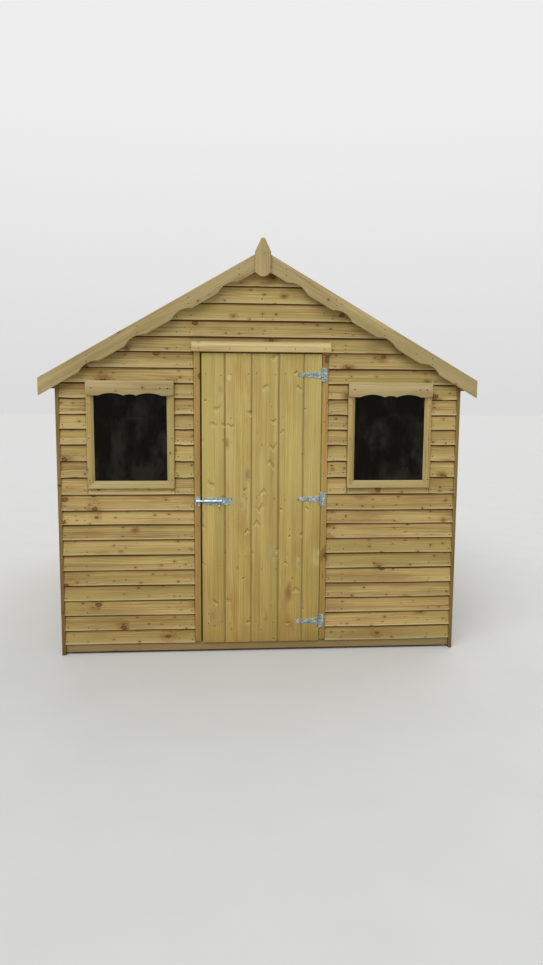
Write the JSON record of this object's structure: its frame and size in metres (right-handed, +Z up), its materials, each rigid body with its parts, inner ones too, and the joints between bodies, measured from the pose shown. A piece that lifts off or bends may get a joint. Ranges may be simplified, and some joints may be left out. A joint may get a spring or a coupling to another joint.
{
  "type": "garden shed",
  "caption": "Wooden garden shed with lapped board walls, a felted gable roof, scalloped bargeboards, windows and a ledged door on tee hinges.",
  "frame": {"origin": "on the ground under the middle of the shed's outline", "axes": "+X to the right seen from the door, +Y from the door gable to the back gable, +Z up"},
  "size_m": [2.614, 3.168, 2.4952],
  "materials": {
    "board_wood": "pressure treated softwood, planed",
    "door_wood": "pressure treated softwood, planed",
    "trim_wood": "pressure treated softwood, planed",
    "strip_wood": "pressure treated softwood, sawn",
    "frame_wood": "sawn softwood",
    "deck_wood": "planed softwood boards",
    "roof_felt": "mineral faced bitumen felt",
    "glass": "clear glazing over a dark room",
    "galvanised": "zinc coated, dull"
  },
  "bodies": {
    "shed": {"back_cladding": "board_wood", "back_frame": "frame_wood", "bargeboard_back_left": "trim_wood", "bargeboard_back_right": "trim_wood", "bargeboard_front_left": "trim_wood", "bargeboard_front_right": "trim_wood", "bolt_keep": "galvanised", "corner_strip_back_left": "strip_wood", "corner_strip_back_right": "strip_wood", "corner_strip_front_left": "strip_wood", "corner_strip_front_right": "strip_wood", "door_head_strip": "trim_wood", "eaves_fascia_left": "frame_wood", "eaves_fascia_right": "frame_wood", "finial_back": "trim_wood", "finial_front": "trim_wood", "floor_bearers": "frame_wood", "floor_deck": "deck_wood", "front_cladding_gable": "board_wood", "front_cladding_left": "board_wood", "front_cladding_right": "board_wood", "front_frame": "frame_wood", "hinge_pins": "galvanised", "hinge_plates": "galvanised", "jamb_strip_left": "strip_wood", "jamb_strip_right": "strip_wood", "left_cladding": "board_wood", "left_frame": "frame_wood", "right_cladding": "board_wood", "right_frame": "frame_wood", "roof_boards_left": "deck_wood", "roof_boards_right": "deck_wood", "roof_felt_left": "roof_felt", "roof_felt_ridge": "roof_felt", "roof_felt_right": "roof_felt", "roof_purlins": "frame_wood", "roof_verge_battens": "frame_wood", "window_left_frame": "trim_wood", "window_left_glass": "glass", "window_left_pelmet": "trim_wood", "window_right_frame": "trim_wood", "window_right_glass": "glass", "window_right_pelmet": "trim_wood"},
    "door": {"door_boards": "door_wood", "door_ledges": "frame_wood", "door_braces": "frame_wood", "hinge_straps": "galvanised", "bolt_plate": "galvanised"},
    "bolt": {"bolt_rod": "galvanised"}
  },
  "joints": [
    {"name": "door_hinge", "type": "hinge", "parent": "shed", "child": "door", "pos_m": [0.363, -1.5338, 0.961], "axis": [0, 0, 1], "range_deg": [0, 160]},
    {"name": "bolt_slide", "type": "slide", "parent": "door", "child": "bolt", "axis": [1, 0, 0], "range_m": [0, 0.045]}
  ]
}
